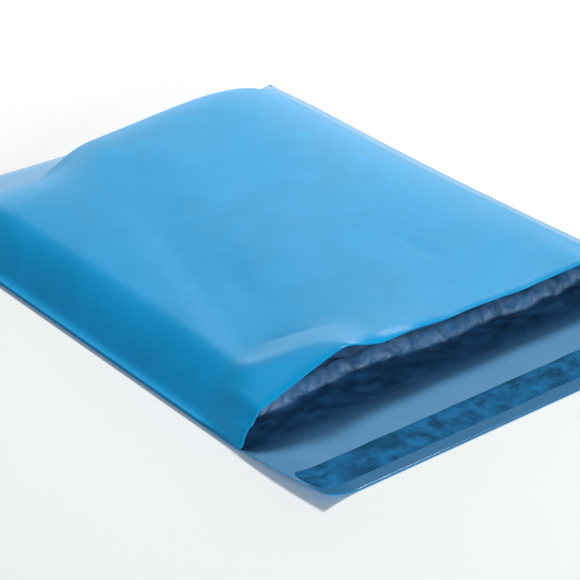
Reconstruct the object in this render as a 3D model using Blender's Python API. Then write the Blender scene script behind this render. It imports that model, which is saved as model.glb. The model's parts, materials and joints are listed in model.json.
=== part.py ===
"""Poly mailer bag: one folded, side-welded film bag, lying down and puffed open at the mouth.

Frame: +Z up, X across the bag, +Y from the mouth to the closed end. The origin is on the surface
that the bag lies on, under the middle of its outline. Units are metres.
"""
import math

import bmesh
import bpy

# The bag as it lies, puffed open
BAG_WIDTH = 0.280          # side weld to side weld
BAG_LENGTH = 0.333         # mouth line to closed end
LIP_LENGTH = 0.059         # lower panel that shows beyond the mouth line
FILM = 0.0004              # thickness of one layer of film
SIDE_WELD = 0.003          # two layers welded flat along each side
END_WELD = 0.006           # flattened fold at the closed end

# Rise of the upper panel above the lower one
CROWN = 0.030              # height of the puffed middle
WALL_SLOPE = 1.45          # the -X flank stands as a steep wall
SHOULDER_X = -0.120        # the shoulder at the wall's top, its height and the slope behind it
SHOULDER_HEIGHT = 0.0225
SHOULDER_SLOPE = 0.11
CROWN_BLEND = 0.006        # rounding of the slope into the crown, and of the shoulder
SHOULDER_BLEND = 0.014
GENTLE_SIDE = 0.036        # run over which the +X flank climbs
END_RUN = 0.017            # run over which the closed end climbs on the +X side
SLACK_END_RUN = 0.030      # the same on the -X side, where the end's corner is slack
SLACK_END_FLAT = 0.021     # how much further the panels lie nearly flat there
SLACK_START = -0.028       # X where the slack corner starts, and over which it sets in
SLACK_ONSET = 0.036
STEEP_END_X = 0.070        # X beyond which the end climbs most steeply, and over which it eases
STEEP_END_ONSET = 0.130
SLACK_SLOPE = 0.045        # how the panels part over that nearly flat stretch
END_DRAW = 0.008           # how far the closed end is drawn in between its corners
END_DRAW_POWER = 0.7       # below 1, the drawn-in edge is straighter in its middle
MOUTH_LIFT = 0.007         # extra height of the mouth's edge near the -X flank
LIFT_X = -0.072
LIFT_SPREAD = 0.026
LIFT_RUN = 0.060           # distance into the bag over which the lift dies out

# The bag's edges: the sides curl off the surface, the +X side is drawn in, the lip narrows
SIDE_CURL = 0.0015
LIP_CURL = 0.0055          # rise of the lip's corners
CURL_WIDTH = 0.022
SIDE_DRAW = 0.004
LIP_NARROWING = 0.006      # at each end of the lip's free edge

# Glue line on the lip, under its peel-off strip
GLUE_START = 0.0325        # from the mouth line towards the lip's end
GLUE_WIDTH = 0.0165
GLUE_THICKNESS = 0.00025
LINER_START = 0.031
LINER_WIDTH = 0.0195
LINER_THICKNESS = 0.0002
STRIP_END_MARGIN = 0.003   # from the strips' ends to the lip's sides
GAP = 0.0003               # between pieces that touch

# Fineness of the film
COLUMN_STEP = 0.012
ROW_STEP = 0.012
FLANK_STEP = 0.005
FLANK_WIDTH = 0.035

LIP_END = -(BAG_LENGTH + LIP_LENGTH) / 2
MOUTH = LIP_END + LIP_LENGTH
CLOSED_END = MOUTH + BAG_LENGTH
HALF_WIDTH = BAG_WIDTH / 2


def clear_scene():
    for item in list(bpy.data.objects):
        bpy.data.objects.remove(item, do_unlink=True)


def plastic(name, colour, roughness):
    material = bpy.data.materials.new(name)
    material.use_nodes = True
    shader = material.node_tree.nodes["Principled BSDF"]
    shader.inputs["Base Color"].default_value = (*colour, 1.0)
    shader.inputs["Roughness"].default_value = roughness
    shader.inputs["Metallic"].default_value = 0.0
    return material


def lip_share(y):
    """0 on the mouth line, 1 at the lip's free edge."""
    return max(0.0, (MOUTH - y) / LIP_LENGTH)


def side_edges(y):
    """X of the bag's two side edges at a station along its length."""
    lip = LIP_NARROWING * lip_share(y) ** 2
    along = min(1.0, max(0.0, (y - MOUTH) / BAG_LENGTH))
    drawn = SIDE_DRAW * math.sin(math.pi * along)
    return lip - HALF_WIDTH, HALF_WIDTH - lip - drawn


def edge_curl(x, y):
    """Height of the film's underside: on the surface in the middle, curling up at the sides."""
    left, right = side_edges(y)
    near_edge = max(0.0, 1 - min(x - left, right - x) / CURL_WIDTH)
    return (SIDE_CURL + (LIP_CURL - SIDE_CURL) * lip_share(y)) * near_edge ** 2


def ease(value):
    """Smooth step from 0 to 1."""
    value = min(1.0, max(0.0, value))
    return value * value * (3 - 2 * value)


def smooth_min(first, second, blend):
    """The lower of two heights, rounded where they cross."""
    share = max(blend - abs(first - second), 0.0) / blend
    return min(first, second) - share * share * blend / 4


def end_edge(x):
    """Y of the closed end, which the puffed panels draw in between its corners."""
    return CLOSED_END - END_DRAW * max(0.0, math.cos(math.pi * x / BAG_WIDTH)) ** END_DRAW_POWER


def end_flat(x):
    """How far the panels lie nearly flat together at the closed end."""
    return END_WELD + SLACK_END_FLAT * ease((SLACK_START - x) / SLACK_ONSET)


def puff(x, y):
    """Clear height between the two panels."""
    left_edge, right_edge = side_edges(y)
    wall = max(0.0, x - left_edge - SIDE_WELD) * WALL_SLOPE
    shoulder = SHOULDER_HEIGHT + SHOULDER_SLOPE * (x - SHOULDER_X)
    roof = smooth_min(shoulder, CROWN, CROWN_BLEND)
    left = max(0.0, smooth_min(wall, roof, SHOULDER_BLEND)) / CROWN
    right = math.tanh(max(0.0, right_edge - x - SIDE_WELD) / GENTLE_SIDE)
    eased = ease((STEEP_END_X - x) / STEEP_END_ONSET)
    run = END_RUN + (SLACK_END_RUN - END_RUN) * eased
    end = math.tanh(max(0.0, end_edge(x) - y - end_flat(x)) / run)
    lift = math.exp(-((x - LIFT_X) / LIFT_SPREAD) ** 2 - max(0.0, y - MOUTH) / LIFT_RUN)
    from_side = min(x - left_edge, right_edge - x) - SIDE_WELD
    slack = SLACK_SLOPE * min(from_side, end_edge(x) - y - END_WELD)
    return max(0.0, slack, (CROWN + MOUTH_LIFT * lift) * left * right * end)


def stations(start, stop, step):
    """Evenly spaced values from start to stop, both included."""
    count = max(1, round(abs(stop - start) / step))
    return [start + (stop - start) * i / count for i in range(count + 1)]


def column_places():
    """The film's columns as X in a straight-sided bag: weld, close-set flank, wide middle."""
    flank = HALF_WIDTH - SIDE_WELD - FLANK_WIDTH
    inner = HALF_WIDTH - SIDE_WELD
    half = stations(0.0, flank, COLUMN_STEP) + stations(flank, inner, FLANK_STEP)[1:] + [HALF_WIDTH]
    return [-x for x in reversed(half)] + half[1:]


def row_places():
    """Y of the lip's rows and of the bag's rows, which share the mouth line."""
    lip = stations(LIP_END, MOUTH, ROW_STEP)
    inner = CLOSED_END - END_WELD
    flank = inner - FLANK_WIDTH
    bag = stations(MOUTH, flank, ROW_STEP) + stations(flank, inner, FLANK_STEP)[1:]
    return lip, bag + [CLOSED_END]


def drawn_in(x, y):
    """X of a column at a station, between the side edges there."""
    left, right = side_edges(y)
    share = (x + HALF_WIDTH) / BAG_WIDTH
    weld = SIDE_WELD / BAG_WIDTH
    if share <= weld:
        return left + x + HALF_WIDTH
    if share >= 1 - weld:
        return right + x - HALF_WIDTH
    inside = (share - weld) / (1 - 2 * weld)
    return left + SIDE_WELD + inside * (right - left - 2 * SIDE_WELD)


def skin(mesh, columns, rows, height):
    """Grid of vertices, keyed by column and row, at the height that a function gives."""
    verts = {}
    for j, y in enumerate(rows):
        for i, column in enumerate(columns):
            x = drawn_in(column, y)
            along = max(0.0, (y - MOUTH) / BAG_LENGTH)
            place = y - (CLOSED_END - end_edge(x)) * along ** 2    # the end is drawn in
            verts[i, j] = mesh.verts.new((x, place, height(x, place)))
    return verts


def tile(mesh, verts, columns, rows, upwards):
    """Quads over a range of columns and rows of a skin."""
    for i in columns:
        for j in rows:
            ring = [verts[i, j], verts[i + 1, j], verts[i + 1, j + 1], verts[i, j + 1]]
            mesh.faces.new(ring if upwards else ring[::-1])


def wall(mesh, lower, upper):
    """Quads between two rows of vertices that run side by side."""
    for i in range(len(lower) - 1):
        mesh.faces.new((lower[i], lower[i + 1], upper[i + 1], upper[i]))


def make_bag_film():
    """The film: lip, lower panel, fold at the closed end and upper panel, welded at the sides."""
    mesh = bmesh.new()
    columns = column_places()
    lip_rows, bag_rows = row_places()
    rows = lip_rows + bag_rows[1:]
    last_column = len(columns) - 1
    last_row = len(rows) - 1
    mouth = len(lip_rows) - 1
    cavity_end = last_row - 1

    outer_low = skin(mesh, columns, rows, edge_curl)
    inner_low = {}
    outer_up = {}
    inner_up = {}
    for (i, j), vert in outer_low.items():
        x, y, underside = vert.co
        top = underside + 2 * FILM + puff(x, y)
        in_cavity = 0 < i < last_column and j <= cavity_end
        on_weld_line = i in (1, last_column - 1) or j == cavity_end
        if j <= mouth or in_cavity:
            inner_low[i, j] = mesh.verts.new((x, y, underside + FILM))
        if j >= mouth:
            outer_up[i, j] = mesh.verts.new((x, y, top))
        if j >= mouth and in_cavity:
            inner_up[i, j] = inner_low[i, j] if on_weld_line else mesh.verts.new((x, y, top - FILM))

    every_column = range(last_column)
    cavity_columns = range(1, last_column - 1)
    tile(mesh, outer_low, every_column, range(last_row), upwards=False)
    tile(mesh, outer_up, every_column, range(mouth, last_row), upwards=True)
    tile(mesh, inner_low, every_column, range(mouth), upwards=True)
    tile(mesh, inner_low, cavity_columns, range(mouth, cavity_end), upwards=True)
    tile(mesh, inner_up, cavity_columns, range(mouth, cavity_end), upwards=False)
    close_edges(mesh, outer_low, inner_low, outer_up, inner_up, last_column, last_row, mouth)
    return finish(mesh, "bag_film", plastic("blue_film", (0.10, 0.42, 0.72), 0.35))


def close_edges(mesh, outer_low, inner_low, outer_up, inner_up, last_column, last_row, mouth):
    """Film edges: the lip's three sides, the mouth's rim, the side welds and the closed end."""
    across = range(last_column + 1)
    wall(mesh, [outer_low[i, 0] for i in across], [inner_low[i, 0] for i in across])
    rim = [inner_low[0, mouth]]
    rim += [inner_up[i, mouth] for i in range(1, last_column)]
    rim += [inner_low[last_column, mouth]]
    wall(mesh, rim, [outer_up[i, mouth] for i in across])
    wall(mesh, [outer_low[i, last_row] for i in reversed(across)],
         [outer_up[i, last_row] for i in reversed(across)])
    for i in (0, last_column):
        lip = [(outer_low[i, j], inner_low[i, j]) for j in range(mouth + 1)]
        weld = [(outer_low[i, j], outer_up[i, j]) for j in range(mouth, last_row + 1)]
        for pairs in (lip, weld[1:]):
            wall(mesh, [low for low, _ in pairs], [high for _, high in pairs])
        mesh.faces.new((outer_low[i, mouth], outer_low[i, mouth + 1], outer_up[i, mouth + 1],
                        outer_up[i, mouth], inner_low[i, mouth]))


def make_strip(name, start, width, base, thickness, material):
    """A flat strip across the lip, following the lip's curled sides."""
    mesh = bmesh.new()
    reach = HALF_WIDTH - STRIP_END_MARGIN
    columns = stations(-reach, reach, FLANK_STEP)
    rows = [MOUTH - start - width, MOUTH - start]
    low = skin(mesh, columns, rows, lambda x, y: edge_curl(x, y) + base)
    high = skin(mesh, columns, rows, lambda x, y: edge_curl(x, y) + base + thickness)
    last = len(columns) - 1
    tile(mesh, low, range(last), range(1), upwards=False)
    tile(mesh, high, range(last), range(1), upwards=True)
    outline = [(i, 0) for i in range(last + 1)] + [(i, 1) for i in reversed(range(last + 1))] + [(0, 0)]
    wall(mesh, [low[key] for key in outline], [high[key] for key in outline])
    return finish(mesh, name, material)


def finish(mesh, name, material):
    bmesh.ops.recalc_face_normals(mesh, faces=mesh.faces)
    data = bpy.data.meshes.new(name)
    mesh.to_mesh(data)
    mesh.free()
    data.materials.append(material)
    piece = bpy.data.objects.new(name, data)
    bpy.context.scene.collection.objects.link(piece)
    return piece


def main():
    clear_scene()
    make_bag_film()
    glue_base = FILM + GAP
    make_strip("adhesive_strip", GLUE_START, GLUE_WIDTH, glue_base, GLUE_THICKNESS,
               plastic("hot_melt_glue", (0.55, 0.60, 0.60), 0.45))
    liner_base = glue_base + GLUE_THICKNESS + GAP
    make_strip("release_liner", LINER_START, LINER_WIDTH, liner_base, LINER_THICKNESS,
               plastic("liner_film", (0.03, 0.14, 0.24), 0.25))


main()
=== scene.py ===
import json
import math

import bmesh
import bpy
from bpy.props import FloatProperty, FloatVectorProperty, PointerProperty
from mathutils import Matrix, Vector, noise


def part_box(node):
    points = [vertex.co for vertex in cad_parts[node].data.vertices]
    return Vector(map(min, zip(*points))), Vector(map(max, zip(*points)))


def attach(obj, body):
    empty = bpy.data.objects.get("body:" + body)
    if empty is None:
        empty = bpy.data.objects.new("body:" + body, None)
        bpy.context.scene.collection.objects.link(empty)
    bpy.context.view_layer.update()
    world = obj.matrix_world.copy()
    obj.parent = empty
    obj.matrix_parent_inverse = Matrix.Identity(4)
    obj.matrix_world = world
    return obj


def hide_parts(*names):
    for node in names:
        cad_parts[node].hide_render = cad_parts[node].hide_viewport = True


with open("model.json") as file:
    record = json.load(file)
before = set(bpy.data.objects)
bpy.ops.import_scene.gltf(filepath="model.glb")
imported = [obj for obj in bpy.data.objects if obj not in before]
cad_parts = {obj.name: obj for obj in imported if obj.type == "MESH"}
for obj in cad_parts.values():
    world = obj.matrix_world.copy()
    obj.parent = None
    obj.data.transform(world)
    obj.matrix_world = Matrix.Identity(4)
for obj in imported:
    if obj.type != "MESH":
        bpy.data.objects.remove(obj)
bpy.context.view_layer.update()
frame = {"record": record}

bl_info = {
    "name": "Poly Mailer Bag",
    "version": (1, 0, 0),
    "blender": (4, 5, 0),
    "location": "View3D > Sidebar > Mailer",
    "description": "Builds a puffed film mailing bag with a peel-and-seal lip",
    "category": "Add Mesh",
}

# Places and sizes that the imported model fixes, in metres. X runs across the bag, Y from its lip
# to its closed end. Left is towards -X.
FILM_LOW, FILM_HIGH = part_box("bag_film")
LINER_LOW, LINER_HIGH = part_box("release_liner")
GLUE_LOW, GLUE_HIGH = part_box("adhesive_strip")
MOUTH = frame["record"]["physics"]["openings"][0]["box_m"][0][1]
LIP_END = FILM_LOW.y
CLOSED_END = FILM_HIGH.y
HALF_WIDTH = (FILM_HIGH.x - FILM_LOW.x) / 2
BAG_LENGTH = CLOSED_END - MOUTH
LIP_LENGTH = MOUTH - LIP_END

# The flat web that the bag is folded from: 12 x 14 inch bag with a 50 mm lip
FILM_THICKNESS = 0.0003

# Side welds and folded end
SIDE_WELD = 0.004
END_WELD = 0.006
WELD_GAP = 0.0008

# How the film's outline is drawn in: at the right side, at the lip and at the closed end
SIDE_DRAW = 0.004
LIP_NARROWING = 0.004
END_DRAW = 0.008
END_DRAW_POWER = 0.7

# How the upper panel rises: a steep wall and a shoulder at the left, a gentle side at the right
WALL_SLOPE = 1.45
SHOULDER_X = -0.120
SHOULDER_HEIGHT = 0.0225
SHOULDER_SLOPE = 0.11
SHOULDER_BLEND = 0.014
CROWN_BLEND = 0.006
GENTLE_SIDE = 0.036
SWELL_MARGIN = 0.03

# How it comes down to the closed end, which lies slack towards its left corner
END_RUN = 0.017
SLACK_END_RUN = 0.030
SLACK_RUN_X = 0.070
SLACK_RUN_ONSET = 0.130
SLACK_END_FLAT = 0.021
SLACK_FLAT_X = -0.022
SLACK_FLAT_ONSET = 0.052

# How the lower panel and the lip curl up along their sides, most at the lip's free edge
SIDE_CURL = 0.0015
LIP_CURL = 0.0056
CURL_WIDTH = 0.022
CURL_END_FADE = 0.05

# The mouth's raised edge: X across the bag and height, from side weld to side weld
MOUTH_EDGE = (
    (-0.1400, 0.0010), (-0.1335, 0.0110), (-0.1250, 0.0225), (-0.1120, 0.0320), (-0.0780, 0.0350),
    (-0.0480, 0.0307), (0.0050, 0.0272), (0.0450, 0.0260), (0.0850, 0.0265), (0.1200, 0.0150),
    (0.1400, 0.0010),
)
MOUTH_RUN = 0.045

# The flat facet at the mouth's left corner: its height at its outer corner and its two slopes
FACET_CORNER = -0.1200
FACET_REACH = 0.01
FACET_HEIGHT = 0.0208
FACET_ACROSS = 0.345
FACET_ALONG = 0.09
FACET_BLEND = 0.0030

# The shallow trough that runs slantwise into the bag beside the left shoulder
TROUGH_X = -0.1135
TROUGH_SLANT = 0.30
TROUGH_LEFT = 0.013
TROUGH_RIGHT = 0.028
TROUGH_DEPTH = 0.0015
TROUGH_START = 0.012
TROUGH_ONSET = 0.025
TROUGH_END = 0.10
TROUGH_FADE = 0.14

# Patterns of smooth noise: waves to the metre across and along, and a layer of its own.
# The slanting one runs at 45 degrees to the bag, and the strip's is over the strip's own half sizes.
BROAD_SWELLS = (9, 7, 3.1)
SLANTING_SWELLS = (10, 22, 7.7)
ROLL_PATTERN = (38, 0, 9.3)
FRONT_PATTERN = (17, 0, 5.5)
RAGGED_PATTERN = (48, 30, 1.1)
FOLD_PATTERN = (50, 30, 2.2)
STRIP_PATTERN = (9, 0.5, 4.4)
CREASE_LAYER = 1.7
# The creases' own bend starts from the clock unless it is seeded, so each piece seeds it first
CREASE_SEED = 5
BROAD_SWELL = 0.0010
SLANTING_SWELL = 0.0006

# Small soft dents of the upper panel: X, distance inward, half length, half width, turn, depth
DENTS = (
    (0.026, 0.062, 0.020, 0.0045, 1.55, 0.0006),
    (0.060, 0.030, 0.020, 0.0060, 0.55, 0.0008),
    (0.072, 0.016, 0.014, 0.0040, 0.30, 0.0006),
    (-0.078, 0.036, 0.016, 0.0035, -0.45, 0.0006),
    (-0.066, 0.100, 0.030, 0.0080, 1.25, 0.0004),
    (0.010, 0.190, 0.030, 0.0050, 0.35, 0.0005),
)

# The mouth's rolled edge, strongest around one place and uneven along the rest
ROLL_WIDTH = 0.0080
ROLL_DEPTH = 0.0021
ROLL_POWER = 1.4
ROLL_MIDDLE = -0.052
ROLL_SPREAD = 0.032
ROLL_START = -0.080
ROLL_ONSET = 0.020
ROLL_UNEVENNESS = 0.5

# The creased lining inside the mouth: distances inward, the margin at the sides, and its creases
CREASE_START = -0.004
CREASE_ONSET = 0.020
CREASE_END = 0.11
CREASE_FADE = 0.06
CREASE_MARGIN = 0.02
CREASES_PER_METRE = 62
CREASE_BEND = 0.8
CREASE_BEND_SCALE = 0.5
FINE_CREASE = 0.45
FINE_CREASE_SCALE = 2.3

# The swell of the film inside the mouth: a step, a long soft rise, and a fold along the step
STEP_DEPTH = 0.019
STEP_HEIGHT = 0.0055
STEP_RUN = 0.0045
RISE_HEIGHT = 0.0065
RISE_START = 0.002
RISE_RUN = 0.020
RISE_MARGIN = 0.03
SETTLE_START = 0.045
SETTLE_RUN = 0.06
FOLD_HEIGHT = 0.0020
FOLD_LEAST = 0.30
FOLD_MIDDLE = 0.0035
FOLD_WIDTH = 0.0022
FRONT_WANDER = 0.008
FRONT_RAGGEDNESS = 0.003

# Where painted highlights lie along the lining's creases: at the step's foot, and faintly on its front
CREST_FOOT = 0.0010
CREST_FOOT_WIDTH = 0.0008
CREST_FRONT = 0.0050
CREST_FRONT_WIDTH = 0.0040
CREST_FRONT_SHARE = 0.40

# Over what distance the paleness of each flat margin fades, and how pale the left one is; the paleness is
# partly the welded film's own and partly painted sheen
LEFT_WELD_PALENESS = 0.03
LEFT_PALE_FADE = 0.003
RIGHT_PALE_FADE = 0.004
END_PALE_FADE = 0.010
END_PALE_ONSET = 0.05
MOUTH_PALE_ONSET = 0.004

# Fineness of the film's web, whose rows stand closer together near the mouth
COLUMNS = 136
LIP_ROWS = 40
PANEL_ROWS = 150
EVEN_ROWS = 0.45
CROWDED_ROWS = 0.55
WEB_MERGE = 0.00002
RIM_RUN = 0.008

# The glue line and the peel strip: fineness, softened outline, and how they lie on the film
STRIP_COLUMNS = 260
STRIP_ROWS = 18
STRIP_WANDER = 0.0004
STRIP_ROUNDING = 0.004
STRIP_EDGE_POWER = 4
STRIP_END_POWER = 60
STRIP_CREASES_PER_METRE = 60
GLUE_LIFT = 0.0002
GLUE_THICKNESS = 0.0002
LINER_LIFT = 0.0004
LINER_THICKNESS = 0.00015
LINER_CRINKLE = 0.0006

# The camera: a long lens that looks down on the mouth's near corner from the left
CAMERA_HEADING = math.radians(38.58)
CAMERA_DROP = math.radians(28.57)
CAMERA_DISTANCE = 1.172
CAMERA_TARGET = Vector((-0.0218, -0.0270, 0.0))
CAMERA_LENS = 136.9
CAMERA_SENSOR = 36
CAMERA_CLIP = 0.01

# The soft lights: name, place, what it is aimed at, size, share of the key's power, colour
LIGHTS = (
    ("key", (1.0, 0.70, 1.80), (0, 0, 0), (0.5, 0.5), 1.0, (1.0, 0.97, 0.90)),
    ("window", (1.45, 1.80, 0.45), (0, 0, 0.1), (2.2, 0.7), 0.45, (1, 1, 1)),
    ("front_fill", (-0.50, -2.00, 0.46), (0, -0.10, 0), (0.8, 0.5), 0.76, (0.80, 0.91, 1.0)),
)
SKY_COLOUR = (0.80, 0.91, 1.0)
SKY_STRENGTH = 0.23
FLOOR_COLOUR = (0.86, 0.87, 0.88)
FLOOR_SIZE = 6
FLOOR_DROP = 0.0002


def settings():
    return bpy.context.scene.mailer


def ease(value):
    """Smooth step from 0 to 1."""
    value = min(1.0, max(0.0, value))
    return value * value * (3 - 2 * value)


def bell(off, width):
    """1 at the middle, falling away on both sides."""
    return math.exp(-(off / width) ** 2)


def waves(x, y, across, along, layer):
    """Smooth noise, about -1 to 1, with so many waves to the metre each way."""
    return noise.noise(Vector((x * across, y * along, layer)))


def ramp_through(points, x):
    """Height of a smooth line through (x, height) points."""
    if x <= points[0][0]:
        return points[0][1]
    for (x0, z0), (x1, z1) in zip(points, points[1:]):
        if x <= x1:
            return z0 + (z1 - z0) * ease((x - x0) / (x1 - x0))
    return points[-1][1]


def smooth_min(first, second, blend):
    """The lower of two heights, rounded where they cross."""
    share = max(blend - abs(first - second), 0.0) / blend
    return min(first, second) - share * share * blend / 4


# ---------------------------------------------------------------------------
# Shape of the film
# ---------------------------------------------------------------------------

def lip_share(y):
    """0 on the mouth line, 1 at the lip's free edge."""
    return max(0.0, (MOUTH - y) / LIP_LENGTH)


def side_edges(y):
    """X of the bag's two sides at a station along its length."""
    lip = LIP_NARROWING * lip_share(y) ** 2
    along = min(1.0, max(0.0, (y - MOUTH) / BAG_LENGTH))
    drawn = SIDE_DRAW * math.sin(math.pi * along)
    return lip - HALF_WIDTH, HALF_WIDTH - lip - drawn


def end_edge(x):
    """Y of the closed end, which the puffed panels draw in between its corners."""
    bow = max(0.0, math.cos(math.pi * x / (2 * HALF_WIDTH))) ** END_DRAW_POWER
    return CLOSED_END - END_DRAW * bow


def end_flat(x):
    """How far the panels lie flat together at the closed end, more at its slack left corner."""
    return END_WELD + SLACK_END_FLAT * ease((SLACK_FLAT_X - x) / SLACK_FLAT_ONSET)


def body_height(x, y):
    """Rise of the upper panel away from the mouth."""
    left_edge, right_edge = side_edges(y)
    crown = settings().crown
    wall = max(0.0, x - left_edge - SIDE_WELD) * WALL_SLOPE
    shoulder = SHOULDER_HEIGHT + SHOULDER_SLOPE * (x - SHOULDER_X)
    top = smooth_min(shoulder, crown, CROWN_BLEND)
    left = max(0.0, smooth_min(wall, top, SHOULDER_BLEND)) / crown
    right = math.tanh(max(0.0, right_edge - x - SIDE_WELD) / GENTLE_SIDE)
    run = END_RUN + (SLACK_END_RUN - END_RUN) * ease((SLACK_RUN_X - x) / SLACK_RUN_ONSET)
    end = math.tanh(max(0.0, end_edge(x) - y - end_flat(x)) / run)
    return crown * left * right * end


def soft_billow(x, y):
    """Broad swells of the puffed upper panel, with a trough beside its left shoulder and dents."""
    wide = waves(x, y, *BROAD_SWELLS)
    slant = waves(x + y, x - y, *SLANTING_SWELLS)
    inward = y - MOUTH
    off_line = x - (TROUGH_X + TROUGH_SLANT * inward)
    trough = bell(off_line, TROUGH_LEFT if off_line < 0 else TROUGH_RIGHT)
    trough *= ease((inward - TROUGH_START) / TROUGH_ONSET) * (1 - ease((inward - TROUGH_END) / TROUGH_FADE))
    dents = 0.0
    for dent_x, dent_inward, long, across, turn, depth in DENTS:
        along = (x - dent_x) * math.cos(turn) + (inward - dent_inward) * math.sin(turn)
        off = (inward - dent_inward) * math.cos(turn) - (x - dent_x) * math.sin(turn)
        dents += depth * math.exp(-(along / long) ** 2 - (off / across) ** 2)
    return BROAD_SWELL * wide + SLANTING_SWELL * slant - TROUGH_DEPTH * trough - dents


def puff(x, y):
    """Clear height between the panels."""
    left_edge, right_edge = side_edges(y)
    from_side = min(x - left_edge, right_edge - x)
    open_share = ease(min(from_side, end_edge(x) - y) / SWELL_MARGIN)
    inward = max(0.0, y - MOUTH)
    near_mouth = 1 - ease(inward / MOUTH_RUN)
    body = body_height(x, y) + soft_billow(x, y) * open_share
    height = body + (ramp_through(MOUTH_EDGE, x) - body) * near_mouth
    if FACET_CORNER - FACET_REACH < x < 0:
        facet = FACET_HEIGHT + FACET_ACROSS * (x - FACET_CORNER) + FACET_ALONG * inward
        height = smooth_min(height, facet, FACET_BLEND)
    roll = (1 - min(1.0, inward / ROLL_WIDTH)) ** ROLL_POWER
    rolled = bell(x - ROLL_MIDDLE, ROLL_SPREAD) * ease((x - ROLL_START) / ROLL_ONSET)
    rolled += ROLL_UNEVENNESS * max(0.0, waves(x, y, *ROLL_PATTERN))
    height -= ROLL_DEPTH * roll * rolled * open_share
    return max(0.0, height) * ease(from_side / SIDE_WELD)


def crumple(x, y, scale, depth):
    """Sharp-edged creases of a thin film."""
    place = Vector((x * scale, y * scale, CREASE_LAYER))
    bend = noise.noise_vector(place * CREASE_BEND_SCALE) * CREASE_BEND
    coarse = abs(noise.noise(place + bend))
    fine = abs(noise.noise((place + bend) * FINE_CREASE_SCALE))
    return depth * (coarse + FINE_CREASE * fine)


def swell_front(x, y):
    """How far a point of the lining lies behind the front of the swell inside the mouth."""
    wander = FRONT_WANDER * waves(x, y, *FRONT_PATTERN)
    wander += FRONT_RAGGEDNESS * abs(waves(x, y, *RAGGED_PATTERN))
    return y - MOUTH - STEP_DEPTH - wander


def lower_height(x, y):
    """Height of the lower panel and the lip: curled at the sides, creased and swollen in the mouth."""
    left, right = side_edges(y)
    inset = min(x - left, right - x)
    near_edge = max(0.0, 1 - inset / CURL_WIDTH)
    curl = SIDE_CURL + (LIP_CURL - SIDE_CURL) * math.sqrt(lip_share(y))
    curled = curl * near_edge ** 2 * ease((CLOSED_END - y) / CURL_END_FADE)
    inward = y - MOUTH
    inside = ease((inward - CREASE_START) / CREASE_ONSET) * (1 - ease((inward - CREASE_END) / CREASE_FADE))
    inside *= ease(inset / CREASE_MARGIN)
    if inside <= 0:
        return curled
    creases = crumple(x, y, CREASES_PER_METRE, settings().crease_depth) * inside
    behind = swell_front(x, y)
    step = STEP_HEIGHT * ease(behind / STEP_RUN)
    rise = RISE_HEIGHT * ease((behind - RISE_START) / RISE_RUN)
    fold = FOLD_HEIGHT * max(0.0, FOLD_LEAST + waves(x, y, *FOLD_PATTERN))
    fold *= bell(behind - FOLD_MIDDLE, FOLD_WIDTH)
    settled = 1 - ease((behind - SETTLE_START) / SETTLE_RUN)
    swell = (step + rise + fold) * settled * ease(inset / RISE_MARGIN) * inside
    return curled + creases + swell


def on_crest(place):
    """1 along the sharp foot of the swell inside the mouth, a little on its front, 0 off it: where painted
    crease highlights go.
    """
    behind = swell_front(place.x, place.y)
    foot = bell(behind - CREST_FOOT, CREST_FOOT_WIDTH)
    front = CREST_FRONT_SHARE * bell(behind - CREST_FRONT, CREST_FRONT_WIDTH)
    return min(1.0, foot + front)


def weld_and_sheen_share(place):
    """How pale the film is, partly from its flat welded double layer and partly painted sheen: most on its
    flat welded margins, 0 on the panels and the lip.
    """
    left, right = side_edges(place.y)
    left_side = LEFT_WELD_PALENESS * (1 - ease((place.x - left - SIDE_WELD) / LEFT_PALE_FADE))
    right_side = 1 - ease((right - place.x - SIDE_WELD) / RIGHT_PALE_FADE)
    end = 1 - ease((end_edge(place.x) - place.y - end_flat(place.x)) / END_PALE_FADE)
    end *= ease((place.x - left) / END_PALE_ONSET)
    return max(left_side, right_side, end) * ease((place.y - MOUTH) / MOUTH_PALE_ONSET)


def web_station(row):
    """(Y, whether on the upper panel) of a row of the folded web."""
    if row <= LIP_ROWS:
        return LIP_END + LIP_LENGTH * row / LIP_ROWS, False
    on_upper = row > LIP_ROWS + PANEL_ROWS
    step = 2 * PANEL_ROWS + LIP_ROWS - row if on_upper else row - LIP_ROWS
    share = step / PANEL_ROWS
    return MOUTH + BAG_LENGTH * (EVEN_ROWS * share + CROWDED_ROWS * share * share), on_upper


def web_place(across, row):
    """Place of a point of the web, across from -1 to 1, once folded, welded and puffed."""
    y, on_upper = web_station(row)
    left, right = side_edges(y)
    x = left + (right - left) * (across + 1) / 2
    y -= (CLOSED_END - end_edge(x)) * max(0.0, (y - MOUTH) / BAG_LENGTH) ** 2
    under = lower_height(x, y)
    if not on_upper:
        return Vector((x, y, under))
    margin = min(x - left, right - x, end_edge(x) - y)
    puffed = min(max(0.0, under), SIDE_CURL) * (1 - ease(margin / CURL_WIDTH)) + puff(x, y)
    least = under + WELD_GAP * min(1.0, margin / SIDE_WELD)
    return Vector((x, y, max(puffed, least)))


# ---------------------------------------------------------------------------
# Pieces
# ---------------------------------------------------------------------------

def new_piece(name, mesh, materials):
    """A smooth-shaded object made from a finished bmesh."""
    data = bpy.data.meshes.new(name)
    mesh.to_mesh(data)
    mesh.free()
    for material in materials:
        data.materials.append(material)
    data.shade_smooth()
    piece = bpy.data.objects.new(name, data)
    bpy.context.scene.collection.objects.link(piece)
    return piece


def thicken(piece, thickness, lining=0):
    """A film's thickness, grown inwards from the outer face."""
    solid = piece.modifiers.new("Film", "SOLIDIFY")
    solid.thickness = thickness
    solid.offset = -1
    solid.material_offset = lining
    solid.material_offset_rim = 0


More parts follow.
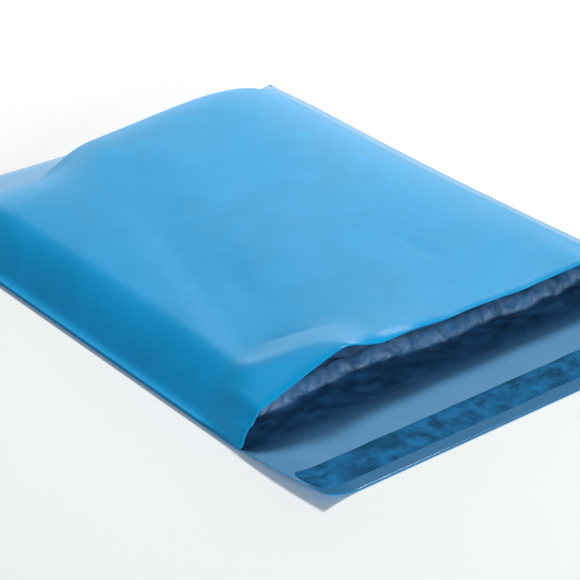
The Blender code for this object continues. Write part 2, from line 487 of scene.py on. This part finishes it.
def make_film():
    """The whole web from the lip's free edge, under the bag and back over it to the mouth."""
    noise.seed_set(CREASE_SEED)
    rows = LIP_ROWS + 2 * PANEL_ROWS
    mesh = bmesh.new()
    bmesh.ops.create_grid(mesh, x_segments=COLUMNS, y_segments=rows, size=1)
    # Paleness of the flat margins, partly their own and partly painted sheen.
    weld_and_sheen = mesh.verts.layers.float.new("weld_and_sheen")
    # Where the painted crease highlights go.
    crest = mesh.verts.layers.float.new("crest")
    rim = mesh.verts.layers.float.new("rim")
    for vert in mesh.verts:
        row = round((vert.co.y + 1) / 2 * rows)
        vert.co = web_place(vert.co.x, row)
        vert[weld_and_sheen] = weld_and_sheen_share(vert.co)
        vert[crest] = on_crest(vert.co)
        vert[rim] = 1 - ease((vert.co.y - MOUTH) / RIM_RUN) if row > LIP_ROWS + PANEL_ROWS else 0.0
    bmesh.ops.remove_doubles(mesh, verts=mesh.verts, dist=WEB_MERGE)
    for face in mesh.faces:
        face.normal_flip()
    piece = new_piece("mailer_film", mesh, [outer_film(), inner_film()])
    thicken(piece, FILM_THICKNESS, lining=1)
    return piece


def make_strip(name, low, high, lift, thickness, crinkle, material):
    """A strip of film across the lip with softly rounded ends."""
    noise.seed_set(CREASE_SEED)
    mesh = bmesh.new()
    bmesh.ops.create_grid(mesh, x_segments=STRIP_COLUMNS, y_segments=STRIP_ROWS, size=1)
    middle = (low.y + high.y) / 2
    half = (high.y - low.y) / 2
    for vert in mesh.verts:
        across, along = vert.co.x, vert.co.y
        y = middle + along * half + STRIP_WANDER * waves(across, along, *STRIP_PATTERN)
        reach = (high.x - low.x) / 2 - STRIP_ROUNDING * abs(along) ** 3
        x = (low.x + high.x) / 2 + across * reach
        hug = (1 - along ** STRIP_EDGE_POWER) * (1 - across ** STRIP_END_POWER)
        raised = (lift + crumple(x, y, STRIP_CREASES_PER_METRE, crinkle)) * hug
        vert.co = Vector((x, y, lower_height(x, y) + FILM_THICKNESS + raised))
    piece = new_piece(name, mesh, [material])
    thicken(piece, thickness)
    return piece


# ---------------------------------------------------------------------------
# Materials
# ---------------------------------------------------------------------------

def tint(colour, factor):
    """The colour made darker or paler."""
    return tuple(min(1.0, channel * factor) for channel in colour)


class Nodes:
    """Short hand for building a material's node tree."""

    def __init__(self, name):
        self.material = bpy.data.materials.new(name)
        self.material.use_nodes = True
        self.tree = self.material.node_tree
        self.shader = self.tree.nodes["Principled BSDF"]
        self.place = self.add("ShaderNodeTexCoord").outputs["Object"]

    def add(self, kind, **values):
        node = self.tree.nodes.new(kind)
        for key, value in values.items():
            setattr(node, key, value)
        return node

    def link(self, source, target):
        self.tree.links.new(source, target)

    def fix(self, **values):
        """Values that are the same all over the surface, set on the shader's own sockets."""
        for key, value in values.items():
            self.shader.inputs[key.replace("_", " ")].default_value = value

    def stretch(self, scale, turn):
        """Object coordinates, scaled each way and turned about Z."""
        mapping = self.add("ShaderNodeMapping")
        mapping.inputs["Scale"].default_value = scale
        mapping.inputs["Rotation"].default_value = (0, 0, turn)
        self.link(self.place, mapping.inputs["Vector"])
        return mapping.outputs["Vector"]

    def layer(self, name):
        """A value that the mesh keeps for each of its points."""
        return self.add("ShaderNodeAttribute", attribute_name=name).outputs["Fac"]

    def noise(self, scale, detail, vector=None, roughness=0.5, distortion=0.0, noise_type="FBM"):
        node = self.add("ShaderNodeTexNoise", noise_type=noise_type)
        node.inputs["Scale"].default_value = scale
        node.inputs["Detail"].default_value = detail
        node.inputs["Roughness"].default_value = roughness
        node.inputs["Distortion"].default_value = distortion
        self.link(vector or self.place, node.inputs["Vector"])
        return node.outputs["Fac"]

    def ramp(self, source, start, stop, first, last):
        """From the first colour to the last as source goes from start to stop."""
        node = self.add("ShaderNodeValToRGB")
        low, high = node.color_ramp.elements
        low.position = start
        low.color = (*first, 1)
        high.position = stop
        high.color = (*last, 1)
        self.link(source, node.inputs["Fac"])
        return node.outputs["Color"]

    def tones(self, source, start, stop, colour, darker, paler):
        return self.ramp(source, start, stop, tint(colour, darker), tint(colour, paler))

    def levels(self, source, start, stop, least, most):
        return self.ramp(source, start, stop, (least,) * 3, (most,) * 3)

    def past(self, start, stop):
        """0 before start and 1 after stop, along the bag."""
        split = self.add("ShaderNodeSeparateXYZ")
        self.link(self.place, split.inputs["Vector"])
        share = self.add("ShaderNodeMapRange", interpolation_type="SMOOTHSTEP")
        share.inputs["From Min"].default_value = start
        share.inputs["From Max"].default_value = stop
        self.link(split.outputs["Y"], share.inputs["Value"])
        return share.outputs["Result"]

    def mix(self, share, colour, other):
        """The colour where share is 0, the other, a fixed colour or a socket, where it is 1."""
        node = self.add("ShaderNodeMixRGB")
        self.link(share, node.inputs["Fac"])
        self.link(colour, node.inputs["Color1"])
        if isinstance(other, tuple):
            node.inputs["Color2"].default_value = (*other, 1)
        else:
            self.link(other, node.inputs["Color2"])
        return node.outputs["Color"]

    def times(self, first, second):
        node = self.add("ShaderNodeMath", operation="MULTIPLY")
        self.link(first, node.inputs[0])
        self.link(second, node.inputs[1])
        return node.outputs["Value"]

    def bump(self, source, strength, distance, under=None):
        node = self.add("ShaderNodeBump")
        node.inputs["Strength"].default_value = strength
        node.inputs["Distance"].default_value = distance
        self.link(source, node.inputs["Height"])
        if under:
            self.link(under, node.inputs["Normal"])
        return node.outputs["Normal"]


def outer_film():
    """Satin blue film with fine grain, soft streaks, pale welds that are partly painted sheen, and a
    glossier rim.
    """
    nodes = Nodes("outer_film")
    mottling = nodes.noise(22, 5, roughness=0.6, distortion=0.8)
    colour = nodes.tones(mottling, 0.3, 0.7, tuple(settings().film_colour), 0.93, 1.07)
    # Pale margins: partly the welded film's own colour, partly painted sheen.
    colour = nodes.mix(nodes.layer("weld_and_sheen"), colour, tuple(settings().weld_and_sheen_colour))
    nodes.link(colour, nodes.shader.inputs["Base Color"])
    sheen = nodes.levels(nodes.noise(12, 3), 0.3, 0.7, 0.46, 0.54)
    sheen = nodes.mix(nodes.layer("rim"), sheen, (0.16, 0.16, 0.16))
    nodes.link(sheen, nodes.shader.inputs["Roughness"])
    wrinkles = nodes.noise(1.0, 4, vector=nodes.stretch((26, 70, 40), 0.6), distortion=0.5)
    grain = nodes.bump(nodes.noise(420, 2), 0.08, 0.0003)
    nodes.link(nodes.bump(wrinkles, 0.10, 0.0020, under=grain), nodes.shader.inputs["Normal"])
    nodes.fix(Specular_IOR_Level=0.18)
    return nodes.material


def inner_film():
    """Lining painted darker as shade inside the mouth, the lip's own paler colour, painted shade on the
    lip's free edge, and painted highlights along the creases.
    """
    nodes = Nodes("inner_film")
    mottling = nodes.noise(60, 4, distortion=0.6)
    lip = nodes.tones(mottling, 0.3, 0.7, tuple(settings().lip_colour), 0.96, 1.04)
    shaded_lip_edge = nodes.tones(mottling, 0.3, 0.7, tuple(settings().lip_edge_shade_colour), 0.95, 1.05)
    lining = nodes.tones(mottling, 0.35, 0.65, tuple(settings().lining_shade_colour), 0.75, 1.25)
    # The darker lining is painted shade inside the mouth, from 13 mm in front of the mouth line inward.
    within = nodes.past(MOUTH - 0.013, MOUTH + 0.002)
    # Painted shade on the lip's free edge beyond the peel strip.
    past_shaded_lip_edge = nodes.past(GLUE_LOW.y - 0.001, LINER_LOW.y + 0.006)
    colour = nodes.mix(within, nodes.mix(past_shaded_lip_edge, shaded_lip_edge, lip), lining)
    # Painted highlights: thin bright lines over the creases and a broken line along the swell's foot.
    glint_colour = tuple(settings().crease_glint_colour)
    scores = nodes.noise(60, 3, roughness=0.6, distortion=1.2, noise_type="RIDGED_MULTIFRACTAL")
    glint_lines = nodes.times(nodes.levels(scores, 0.70, 0.95, 0, 0.35), within)
    colour = nodes.mix(glint_lines, colour, glint_colour)
    broken = nodes.levels(nodes.noise(170, 4, distortion=0.6), 0.36, 0.64, 0.1, 0.9)
    colour = nodes.mix(nodes.times(nodes.layer("crest"), broken), colour, glint_colour)
    nodes.link(colour, nodes.shader.inputs["Base Color"])
    creases = nodes.noise(85, 4, roughness=0.55, distortion=0.5, noise_type="RIDGED_MULTIFRACTAL")
    nodes.link(nodes.bump(nodes.times(creases, within), 0.5, 0.0012), nodes.shader.inputs["Normal"])
    nodes.fix(Roughness=0.20, Specular_IOR_Level=0.24)
    return nodes.material


def liner_film():
    """Matt dark blue strip, patchy and finely wrinkled."""
    nodes = Nodes("liner_film")
    patches = nodes.noise(95, 5, roughness=0.6, distortion=0.6)
    colour = nodes.tones(patches, 0.38, 0.62, tuple(settings().liner_colour), 0.62, 1.42)
    nodes.link(colour, nodes.shader.inputs["Base Color"])
    wrinkles = nodes.noise(150, 4, distortion=1.5)
    nodes.link(nodes.bump(wrinkles, 0.35, 0.0012), nodes.shader.inputs["Normal"])
    nodes.fix(Roughness=0.6, Specular_IOR_Level=0.02)
    return nodes.material


def glue():
    """Hot-melt glue with a slightly uneven skin."""
    nodes = Nodes("hot_melt_glue")
    nodes.link(nodes.bump(nodes.noise(260, 3), 0.4, 0.0006), nodes.shader.inputs["Normal"])
    nodes.fix(Base_Color=(*settings().glue_colour, 1), Roughness=0.4)
    return nodes.material


def floor_paint():
    nodes = Nodes("pale_floor")
    nodes.fix(Base_Color=(*FLOOR_COLOUR, 1), Roughness=0.75)
    return nodes.material


# ---------------------------------------------------------------------------
# Stage
# ---------------------------------------------------------------------------

def area_light(name, place, target, size, power, colour):
    """A soft rectangular light aimed at a point."""
    data = bpy.data.lights.new(name, "AREA")
    data.shape = "RECTANGLE"
    data.size, data.size_y = size
    data.energy = power
    data.color = colour
    light = bpy.data.objects.new(name, data)
    light.location = place
    light.rotation_euler = (Vector(target) - Vector(place)).to_track_quat("-Z", "Y").to_euler()
    bpy.context.scene.collection.objects.link(light)


def make_camera():
    """The camera, which looks along its heading and down by its drop."""
    level = math.cos(CAMERA_DROP)
    ahead = Vector((
        math.sin(CAMERA_HEADING) * level, math.cos(CAMERA_HEADING) * level, -math.sin(CAMERA_DROP)))
    data = bpy.data.cameras.new("camera")
    data.sensor_width = CAMERA_SENSOR
    data.lens = CAMERA_LENS
    data.clip_start = CAMERA_CLIP
    camera = bpy.data.objects.new("camera", data)
    camera.location = CAMERA_TARGET - ahead * CAMERA_DISTANCE
    camera.rotation_euler = ahead.to_track_quat("-Z", "Y").to_euler()
    bpy.context.scene.collection.objects.link(camera)
    bpy.context.scene.camera = camera


def make_floor():
    """A wide pale floor just under the bag."""
    mesh = bmesh.new()
    bmesh.ops.create_grid(mesh, x_segments=1, y_segments=1, size=FLOOR_SIZE)
    bmesh.ops.translate(mesh, verts=mesh.verts, vec=(0, 0, -FLOOR_DROP))
    floor = new_piece("floor", mesh, [floor_paint()])


def make_sky(scene):
    """An even pale light from all round."""
    world = bpy.data.worlds.new("studio")
    world.use_nodes = True
    background = world.node_tree.nodes["Background"]
    background.inputs["Color"].default_value = (*SKY_COLOUR, 1)
    background.inputs["Strength"].default_value = SKY_STRENGTH
    scene.world = world


# ---------------------------------------------------------------------------
# Settings, operators and panel
# ---------------------------------------------------------------------------

class MailerSettings(bpy.types.PropertyGroup):
    crown: FloatProperty(
        name="Puffed height", description="Height of the upper panel's middle",
        default=0.030, min=0.0, soft_max=0.06, unit="LENGTH")
    crease_depth: FloatProperty(
        name="Crease depth", description="Depth of the creases in the lining",
        default=0.0022, min=0.0, soft_max=0.01, unit="LENGTH")
    film_colour: FloatVectorProperty(
        name="Film", description="Colour of the bag's outer face",
        default=(0.003, 0.305, 0.630), min=0, max=1, subtype="COLOR")
    # Paleness of the flat margins: partly the welded double film's own colour, partly painted sheen.
    weld_and_sheen_colour: FloatVectorProperty(
        name="Welds", description="Colour of the flat welded margins",
        default=(0.20, 0.44, 0.70), min=0, max=1, subtype="COLOR")
    lip_colour: FloatVectorProperty(
        name="Lip", description="Colour of the lip's inner face",
        default=(0.102, 0.282, 0.500), min=0, max=1, subtype="COLOR")
    # The lining colour is painted shade: it is the same film face as the lip, made darker inside the mouth.
    lining_shade_colour: FloatVectorProperty(
        name="Lining", description="Colour of the bag's inner face",
        default=(0.026, 0.102, 0.225), min=0, max=1, subtype="COLOR")
    # Painted shade on the lip's free edge beyond the peel strip.
    lip_edge_shade_colour: FloatVectorProperty(
        name="Hem", description="Colour of the lip's outer edge, beyond the peel strip",
        default=(0.030, 0.158, 0.325), min=0, max=1, subtype="COLOR")
    # Painted highlights along the lining's creases.
    crease_glint_colour: FloatVectorProperty(
        name="Whitening", description="Colour of the lining where a sharp crease has whitened it",
        default=(0.22, 0.33, 0.45), min=0, max=1, subtype="COLOR")
    liner_colour: FloatVectorProperty(
        name="Peel strip", description="Colour of the peel-off strip",
        default=(0.010, 0.105, 0.245), min=0, max=1, subtype="COLOR")
    glue_colour: FloatVectorProperty(
        name="Glue", description="Colour of the hot-melt glue line",
        default=(0.50, 0.56, 0.56), min=0, max=1, subtype="COLOR")
    key_power: FloatProperty(
        name="Key light", description="Power of the soft light behind the bag",
        default=42.0, min=0.0, unit="POWER")


class MAILER_OT_film(bpy.types.Operator):
    """Build the folded and welded film with its lip"""
    bl_idname = "mailer.film"
    bl_label = "Bag film"

    def execute(self, context):
        piece = make_film()
        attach(piece, "root")
        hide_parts("bag_film")
        return {"FINISHED"}


class MAILER_OT_glue_line(bpy.types.Operator):
    """Lay the hot-melt glue line on the lip"""
    bl_idname = "mailer.glue_line"
    bl_label = "Glue line"

    def execute(self, context):
        piece = make_strip("mailer_glue_line", GLUE_LOW, GLUE_HIGH, GLUE_LIFT, GLUE_THICKNESS, 0.0, glue())
        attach(piece, "root")
        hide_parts("adhesive_strip")
        return {"FINISHED"}


class MAILER_OT_peel_strip(bpy.types.Operator):
    """Lay the peel-off strip over the glue line"""
    bl_idname = "mailer.peel_strip"
    bl_label = "Peel strip"

    def execute(self, context):
        piece = make_strip(
            "mailer_peel_strip", LINER_LOW, LINER_HIGH, LINER_LIFT, LINER_THICKNESS, LINER_CRINKLE,
            liner_film())
        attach(piece, "root")
        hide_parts("release_liner")
        return {"FINISHED"}


class MAILER_OT_stage(bpy.types.Operator):
    """Set the pale floor, the soft lights and the camera"""
    bl_idname = "mailer.stage"
    bl_label = "Stage"

    def execute(self, context):
        make_floor()
        make_camera()
        for name, place, target, size, share, colour in LIGHTS:
            area_light(name, place, target, size, settings().key_power * share, colour)
        make_sky(context.scene)
        context.scene.view_settings.view_transform = "Standard"
        return {"FINISHED"}


class MAILER_PT_panel(bpy.types.Panel):
    bl_label = "Poly mailer bag"
    bl_idname = "MAILER_PT_panel"
    bl_space_type = "VIEW_3D"
    bl_region_type = "UI"
    bl_category = "Mailer"

    def draw(self, context):
        for name in MailerSettings.__annotations__:
            self.layout.prop(context.scene.mailer, name)
        for operator in OPERATORS:
            self.layout.operator(operator.bl_idname)


OPERATORS = (MAILER_OT_film, MAILER_OT_glue_line, MAILER_OT_peel_strip, MAILER_OT_stage)


def register():
    for item in (MailerSettings, *OPERATORS, MAILER_PT_panel):
        bpy.utils.register_class(item)
    bpy.types.Scene.mailer = PointerProperty(type=MailerSettings)


def unregister():
    del bpy.types.Scene.mailer
    for item in (MAILER_PT_panel, *reversed(OPERATORS), MailerSettings):
        bpy.utils.unregister_class(item)


def main():
    register()
    bpy.ops.mailer.film()
    bpy.ops.mailer.glue_line()
    bpy.ops.mailer.peel_strip()
    bpy.ops.mailer.stage()


if __name__ == "__main__":
    main()
